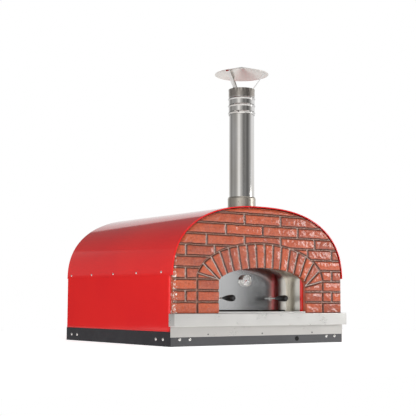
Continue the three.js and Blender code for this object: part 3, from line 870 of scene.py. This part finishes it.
def dome_heads(name, places, radius, height, material=BRIGHT, body="oven", socket=True):
    """Identical fasteners in one piece: places are (centre, outward direction)."""
    bm = bmesh.new()
    root = -0.002
    arc = [(radius * cos(a), height * sin(a)) for a in (0.35, 0.7, 1.0, 1.25)]
    profile = [(0, root), (radius * 0.92, root), (radius, 0)] + arc
    if socket:
        well = radius * 0.38
        profile += [(well, height * 0.98), (well * 0.9, height * 0.45), (0, height * 0.4)]
    else:
        profile += [(0, height)]
    for centre, out in places:
        turned(bm, profile, centre, out, 24)
    finish_piece(name, bm, material, body, (), 50)


def make_rivets():
    rivets = []
    for i in range(5):
        y = RAIL_LO.y + 0.0855 + RIVET_PITCH * i
        rivets += [(Vector((side.x * HALF, y, RIVET_LEVEL)), side) for side in (LEFT, RIGHT)]
    dome_heads("lap_rivets", rivets, 0.0062, 0.0028, socket=False)


def make_plinth_bolts():
    """Pairs of bolts near the plinth's corners, on all four sides."""
    bolts = []
    for reach in (0.064, 0.129):
        for y in (RAIL_LO.y + reach, RAIL_HI.y - reach):
            bolts += [(Vector((side.x * HALF, y, BOLT_LEVEL)), side) for side in (LEFT, RIGHT)]
    for reach in (0.057, 0.119):
        for x in (reach - HALF, HALF - reach):
            bolts.append((Vector((x, RAIL_LO.y, BOLT_LEVEL)), FRONT))
            bolts.append((Vector((x, RAIL_HI.y, BOLT_LEVEL)), BACK))
    dome_heads("plinth_bolts", bolts, 0.0085, 0.0042)


def make_screws():
    """The small screws of the apron, the back panel and the roof collar."""
    apron = [(Vector((x, APRON_LO.y, APRON_SCREW_LEVEL)), FRONT) for x in (-0.355, 0.0, 0.355)]
    dome_heads("apron_screws", apron, 0.0042, 0.002, BLACK)

    panel = []
    arch_screws, first, inset = 12, 0.12, 0.03
    for i in range(arch_screws):
        point, inwards = arch_frame(first + (pi - 2 * first) * i / (arch_screws - 1), *SHELL)
        panel.append((Vector((point.x + inwards.x * inset, BACK_HI.y, point.y + inwards.y * inset)), BACK))
    edge, foot = 0.55, BACK_LO.z + 0.022
    for x, z in [(x, foot) for x in (-edge, -0.28, 0.0, 0.28, edge)] + [(-edge, 0.22), (edge, 0.22)]:
        panel.append((Vector((x, BACK_HI.y, z)), BACK))
    dome_heads("back_screws", panel, 0.0055, 0.0026)

    collar = []
    wide = COLLAR_HI.x - FLUE.x - COLLAR_FLANGE
    for k in range(3):
        out = heading(100 + 120 * k)
        collar.append((FLUE + out * wide + Vector((0, 0, COLLAR_LO.z + COLLAR_SCREW_LEVEL)), out))
    dome_heads("collar_screws", collar, 0.0035, 0.002)


def make_shelf():
    bm = block(SHELF_LO, SHELF_HI, 0.0028, 4)
    finish_piece("shelf_tray", bm, BRUSHED, "oven", ["landing_shelf"])


# ---- Flue ----
def make_flue():
    r, wall = PIPE_RADIUS, PIPE_WALL
    tube = [(r - wall, PIPE_LO.z), (r, PIPE_LO.z), (r, PIPE_HI.z), (r - wall, PIPE_HI.z)]
    bm = turned(bmesh.new(), rounded(tube, 0.0003, 2), FLUE, segments=96)
    finish_piece("pipe_skin", bm, FLUE_STEEL, "flue", ["flue_pipe"])

    flange = COLLAR_HI.x - FLUE.x
    outer = flange - COLLAR_FLANGE
    base, top = COLLAR_LO.z, COLLAR_HI.z
    thick, shoulder = 0.0025, 0.008
    profile = [
        (r + FIT_GAP, base),
        (flange, base, 0.0008),
        (flange, base + thick, 0.0012),
        (outer, base + thick, 0.002),
        (outer, top - shoulder, 0.004),
        (outer - 0.0035, top, 0.002),
        (r + FIT_GAP, top, 0.0004),
    ]
    bm = turned(bmesh.new(), rounded(profile, 0.0, 5), FLUE, segments=96)
    finish_piece("collar_ring", bm, COLLAR_STEEL, "oven", ["roof_collar"])


def crimped(radius, height, angle):
    """The sleeve's radius, waved more and more towards its top rim."""
    near = max(0.0, min(1.0, (height - (SLEEVE_HI.z - CRIMP_BAND)) / CRIMP_BAND))
    return radius + 0.0011 * near * near * sin(CRIMP_COUNT * angle)


def make_sleeve():
    """The cowl's sleeve: three rolled beads, and a crimped rim."""
    r, top = SLEEVE_RADIUS, SLEEVE_HI.z
    path = [(r, SLEEVE_LO.z)]
    for z in BEAD_LEVELS:
        for k in range(-6, 7):
            u = k / 6
            path.append((r + BEAD_RISE * cos(u * pi / 2) ** 1.3, z + BEAD_REACH * u))
    last = BEAD_LEVELS[-1]
    for k in range(1, 9):
        path.append((r, last + BEAD_REACH + (top - last - BEAD_REACH) * k / 8))
    back = [(p[0] - SLEEVE_WALL, p[1]) for p in reversed(path)]
    bm = turned(bmesh.new(), path + back, FLUE, segments=176, shape=crimped)
    finish_piece("sleeve_skin", bm, SLEEVE_STEEL, "cowl", ["cowl_sleeve"])

    out = heading(218)
    heads = [(FLUE + out * (r + 0.0036) + Vector((0, 0, BEAD_LEVELS[0])), out)]
    dome_heads("clamp_screw", heads, 0.0045, 0.003, BLACK, "cowl")


def make_cap():
    """A shallow cone of thin sheet with a rolled rim."""
    radius = CAP_HI.x - FLUE.x
    rim, apex = CAP_LO.z + 0.002, CAP_HI.z
    steps, turns = 24, 8
    path = [(0, apex)]
    for k in range(1, steps + 1):
        u = k / steps
        path.append((radius * u * 0.985, apex - (apex - rim) * u))
    under = [(p[0], p[1] - CAP_SHEET) for p in reversed(path)]
    curl = []
    for k in range(1, turns):
        a = pi * k / turns
        curl.append((radius * 0.985 + 0.0022 * sin(a), rim - CAP_SHEET / 2 + 0.0013 * cos(a)))
    bm = turned(bmesh.new(), path + curl + under, FLUE, segments=128)
    finish_piece("cap_cone", bm, CAP_STEEL, "cowl", ["cowl_cap"])


def make_legs():
    """Strap legs: upright inside the sleeve, flared out, with a tab bent along the cone."""
    for k in range(1, 4):
        soften(f"cowl_leg_{k}", FLUE_STEEL)


# ---- Door and gauge ----
# A grip's outline as shares of its radius and of its length, from the tip back to the washer.
GRIP_OUTLINE = [
    (0.0, 0.02), (0.22, 0.02), (0.30, 0.004), (0.44, 0.0), (0.62, 0.012), (0.82, 0.05),
    (0.95, 0.12), (1.0, 0.22), (0.99, 0.34), (0.94, 0.46), (0.84, 0.60), (0.70, 0.74),
    (0.55, 0.86), (0.44, 0.95), (0.40, 0.985), (0.36, 1.0), (0.0, 1.0),
]


def turned_back(profile, x, y, z, segments):
    """Turns a profile about an axis that runs to the back from (x, y, z)."""
    return turned(bmesh.new(), profile, (x, y, z), BACK, segments)


def disc(radius, length, edge, steps):
    """The profile of a solid round, with its rims rounded."""
    return rounded([(0, 0, 0), (radius, 0), (radius, length), (0, length, 0)], edge, steps)


def make_door():
    soften("door_panel", DOOR_STEEL, 0.0016, 4)
    soften("door_back_plate", DOOR_STEEL)
    soften("door_insulation", WOOL, 0.001)
    for hand in ("left", "right"):
        soften(f"door_foot_{hand}", BLACK, 0.0012, 3)
        low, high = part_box(f"handle_grip_{hand}")
        x, z = (low.x + high.x) / 2, (low.z + high.z) / 2
        wide, length = (high.x - low.x) / 2, high.y - low.y
        bm = turned_back([(wide * r, length * h) for r, h in GRIP_OUTLINE], x, low.y, z, 48)
        finish_piece(f"grip_{hand}", bm, BAKELITE, "door", [f"handle_grip_{hand}"], 60)
        for kind, edge in (("rod", 0.0004), ("washer", 0.0006)):
            low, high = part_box(f"handle_{kind}_{hand}")
            profile = disc((high.x - low.x) / 2, high.y - low.y, edge, 3)
            bm = turned_back(profile, x, low.y, z, 40)
            finish_piece(f"{kind}_{hand}", bm, BRIGHT, "door", [f"handle_{kind}_{hand}"])


def make_gauge():
    """A bimetal thermometer: a deep case, a rolled bezel, a printed dial and its needle."""
    radius, front, back = CASE_HI.x, CASE_LO.y, CASE_HI.y
    wall = 0.0016
    cup = [(0, back - wall, 0), (radius - wall, back - wall), (radius - wall, front), (radius, front)]
    cup += [(radius, back, 0.002), (0, back, 0)]
    profile = [(r, h - front) for r, h in rounded(cup, 0.0004, 3, False)]
    bm = turned_back(profile, 0, front, GAUGE_Z, 72)
    finish_piece("case_cup", bm, BRIGHT, "door", ["gauge_case"])

    low, high, wide = BEZEL_LO.y, BEZEL_HI.y, BEZEL_HI.x
    inner = wide - 0.0036
    ring = [(inner, low + 0.0012, 0.0004), (wide - 0.0022, low, 0.0008), (wide, low, 0.0014)]
    ring += [(wide, high, 0.0004), (inner, high, 0.0002)]
    profile = [(r, h - low) for r, h in rounded(ring, 0.0004, 4)]
    bm = turned_back(profile, 0, low, GAUGE_Z, 72)
    finish_piece("bezel_ring", bm, BRIGHT, "door", ["gauge_bezel"])

    soften("gauge_lens", GLASS, 0.0002, 1)
    soften("gauge_stem", BRIGHT, 0.0004, 2)
    soften("gauge_needle", NEEDLE, 0.0002, 1)

    profile = disc(DIAL_HI.x, DIAL_HI.y - DIAL_LO.y, 0.0003, 2)
    bm = turned_back(profile, 0, DIAL_LO.y, GAUGE_Z, 72)
    finish_piece("dial_disc", bm, DIAL, "door", ["gauge_dial"])
    make_dial_ticks(DIAL_HI.x, DIAL_LO.y - 0.0001)
    make_dial_numbers(DIAL_HI.x * 0.60, DIAL_LO.y - 0.0001)


def make_dial_ticks(radius, y):
    """Ticks round three quarters of the dial, each tenth one longer and wider."""
    bm = bmesh.new()
    raised = Vector((0, -0.00015, 0))
    middle = Vector((0, y, GAUGE_Z))
    for i in range(DIAL_TICKS + 1):
        a = radians(DIAL_START - DIAL_SWEEP * i / DIAL_TICKS)
        major = i % 10 == 0
        near, far = radius * (0.78 if major else 0.84), radius * 0.92
        half = 0.00045 if major else 0.0002
        out = Vector((cos(a), 0, sin(a)))
        across = Vector((-out.z, 0, out.x)) * half
        corners = [middle + out * near - across, middle + out * far - across]
        corners += [middle + out * far + across, middle + out * near + across]
        low = [bm.verts.new(c) for c in corners]
        high = [bm.verts.new(c + raised) for c in corners]
        bm.faces.new(low)
        bm.faces.new(high)
        for k in range(4):
            bm.faces.new((low[k], low[(k + 1) % 4], high[(k + 1) % 4], high[k]))
    finish_piece("dial_ticks", bm, INK, "door")


def make_dial_numbers(radius, y):
    """Plain numbers in hundreds."""
    for i in range(DIAL_HUNDREDS + 1):
        a = radians(DIAL_START - DIAL_SWEEP * i / DIAL_HUNDREDS)
        curve = bpy.data.curves.new(f"number_{i}", "FONT")
        curve.body = str(100 * i)
        curve.size = 0.0072
        curve.extrude = 0.00012
        curve.align_x = curve.align_y = "CENTER"
        curve.materials.append(INK)
        text = add_object(f"dial_number_{i}", curve)
        text.rotation_euler = (radians(90), 0, 0)
        text.location = (radius * cos(a), y, GAUGE_Z + radius * sin(a))
        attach(text, "door")


# ---- CAD nodes that keep their shape ----
def dress_frame():
    """Materials and softened edges for the nodes that nothing replaces."""
    braces = ["cross_brace_1", "cross_brace_2"]
    masonry = [f"hearth_tile_{k}" for k in range(1, 7)]
    masonry += ["chamber_vault", "chamber_rear_wall", "chamber_front_wall"]
    sheet = (0.0005, 2)  # width and segments of the edges
    dressed = [
        (BLACK, sheet, ["plinth_rail_front"]),
        (SIDE_BLACK, sheet, ["plinth_rail_left", "plinth_rail_right", "plinth_rail_rear"] + braces),
        (RED, sheet, ["back_panel", "front_frame"]),
        (APRON_STEEL_PAINTED_SHADE, sheet, ["apron_strip"]),
        (BRUSHED, sheet, ["sill_plate"]),
        (LINING_STEEL, sheet, ["vestibule_lining", "door_seat_plate"]),
        (ZINC, sheet, ["floor_pan", "sill_support", "smoke_box", "flue_stub"]),
        (RUBBER, sheet, ["plinth_plug"]),
        (FIRECLAY, (0.0016, 2), masonry),
        (WOOL, (0.003, 3), ["floor_insulation", "insulation_blanket"]),
    ]
    for material, edges, names in dressed:
        for name in names:
            soften(name, material, *edges)


# ---- Studio ----
# Brightness of the surroundings by the share of the way round: 0 and 1 are the front (-Y),
# 0.25 the left (-X), 0.5 the back and 0.75 the right.
STREET = [
    (0.0, 0.15), (0.02, 0.30), (0.04, 1.9), (0.19, 1.9), (0.22, 0.60), (0.27, 0.30),
    (0.34, 0.25), (0.39, 0.18), (0.41, 0.15), (0.43, 0.10), (0.47, 0.50), (0.50, 1.0),
    (0.75, 1.0), (0.80, 0.80), (0.85, 0.04), (0.93, 0.04), (1.0, 0.15),
]
LOW_WALLS = [
    (0.0, 0.30), (0.013, 0.33), (0.04, 0.25), (0.067, 0.27), (0.093, 0.50), (0.119, 0.69),
    (0.145, 0.90), (0.172, 1.35), (0.199, 1.02), (0.226, 0.67), (0.255, 0.51), (0.285, 0.47),
    (0.317, 0.48), (0.352, 0.50), (0.39, 0.34), (0.436, 0.38), (0.485, 0.75), (0.52, 0.95),
    (0.66, 0.95), (0.70, 1.0), (0.776, 1.1), (0.822, 1.1), (0.86, 0.64), (0.895, 0.42),
    (0.927, 0.24), (0.957, 0.15), (0.986, 0.24), (1.0, 0.30),
]
HIGH_WALLS = [
    (0.0, 0.30), (0.1, 0.55), (0.22, 0.30), (0.44, 0.27), (0.50, 0.24), (0.60, 0.24),
    (0.65, 0.22), (0.8, 0.55), (1.0, 0.30),
]


def panel(name, place, target, size, radiance, mirrored=True):
    """A soft light panel; only a mirrored one shows in reflections."""
    light = bpy.data.lights.new(name, "AREA")
    light.shape = "RECTANGLE"
    light.size, light.size_y = size
    light.energy = radiance * pi * size[0] * size[1]
    lamp = add_object(name, light)
    lamp.location = place
    lamp.rotation_euler = (Vector(target) - Vector(place)).to_track_quat("-Z", "Y").to_euler()
    lamp.visible_glossy = mirrored
    lamp.visible_camera = False
    return lamp


def make_world():
    """A pale studio: plain white to the eye, bright and dim bands of wall in reflections."""
    world = bpy.data.worlds.new("studio")
    bpy.context.scene.world = world
    world.use_nodes = True
    w = Nodes(world.node_tree)
    toward = w.parts(w.node("ShaderNodeTexCoord").outputs["Generated"])
    turn = w.math("ARCTAN2", toward["X"], toward["Y"])
    share = w.math("MULTIPLY_ADD", turn, 1 / (2 * pi), 0.5)
    up = toward["Z"]
    kerb = w.ramp(up, [(0.054, 0.0), (0.062, 1.0)])
    around = w.mix(kerb, w.ramp(share, STREET), w.ramp(share, LOW_WALLS))
    around = w.mix(w.ramp(up, [(0.412, 0.0), (0.424, 1.0)]), around, w.ramp(share, HIGH_WALLS))
    around = w.mix(w.ramp(up, [(0.62, 0.0), (0.9, 1.0)]), around, 0.08)
    around = w.mix(w.math("LESS_THAN", up, -0.08), around, 0.9)
    seen = w.node("ShaderNodeLightPath").outputs["Is Camera Ray"]
    background = w.tree.nodes["Background"]
    w.put(background.inputs["Color"], w.mix(seen, around, 1.0))
    background.inputs["Strength"].default_value = 1.0


def make_floor():
    """A pale floor that glows faintly, so that it stays white round the shadows."""
    reach, level = 2.4, -0.0005
    bm = bmesh.new()
    grid = bmesh.ops.create_grid(bm, x_segments=24, y_segments=24, size=reach)
    for v in grid["verts"]:
        v.co.z = level
    mesh = bpy.data.meshes.new("studio_floor")
    bm.to_mesh(mesh)
    bm.free()
    s = Shader("pale_floor", Emission_Strength=0.7)
    s.tint(s.noise(3, 3.0), (0.90, 0.90, 0.895), (0.93, 0.93, 0.925))
    s.roughen(s.noise(8, 3.0), 0.75, 0.85)
    s.drive("Emission Color", s.spread(s.noise(3, 3.0), 0.98, 1.0))
    mesh.materials.append(s.material)
    floor = add_object("studio_floor", mesh)


def make_camera():
    data = bpy.data.cameras.new("camera")
    data.sensor_width = 36.0
    data.lens = 82.36
    camera = add_object("camera", data)
    yaw, pitch, roll = radians(36.209), radians(5.686), radians(0.2)
    level = cos(pitch)
    forward = Vector((sin(yaw) * level, cos(yaw) * level, sin(pitch)))
    camera.location = (-3.2345, -4.4542, 0.2178)
    aim = forward.to_track_quat("-Z", "Y").to_matrix().to_4x4()
    camera.rotation_euler = (aim @ Matrix.Rotation(roll, 4, "Z")).to_euler()
    bpy.context.scene.camera = camera


def make_studio():
    bpy.context.scene.view_settings.view_transform = "Standard"
    make_world()
    make_floor()
    make_camera()
    door, front = (0, -0.4, 0.35), (0.2, -0.5, 0.45)
    panel("left_fill", (-4.0, -1.5, 1.5), (-0.5, -0.3, 0.35), (2.2, 1.6), 2.05, False)
    panel("front_key", (-1.6, -4.4, 2.0), door, (1.3, 1.3), 13.0, False)
    panel("door_sheen", (1.13, -2.65, 0.5), door, (1.02, 0.9), 0.6)
    panel("brick_glare", (2.95, -2.55, 0.85), front, (1.1, 0.75), 6.8)
    overhead = panel("bead_light", (0, -0.6, 3.6), (0, -0.2, 0.6), (3.2, 3.2), 1.1)
    overhead.visible_diffuse = False


make_brick_front()
make_roof()
make_sides()
make_shelf()
make_rivets()
make_plinth_bolts()
make_screws()
make_flue()
make_sleeve()
make_cap()
make_legs()
make_door()
make_gauge()
dress_frame()
make_studio()
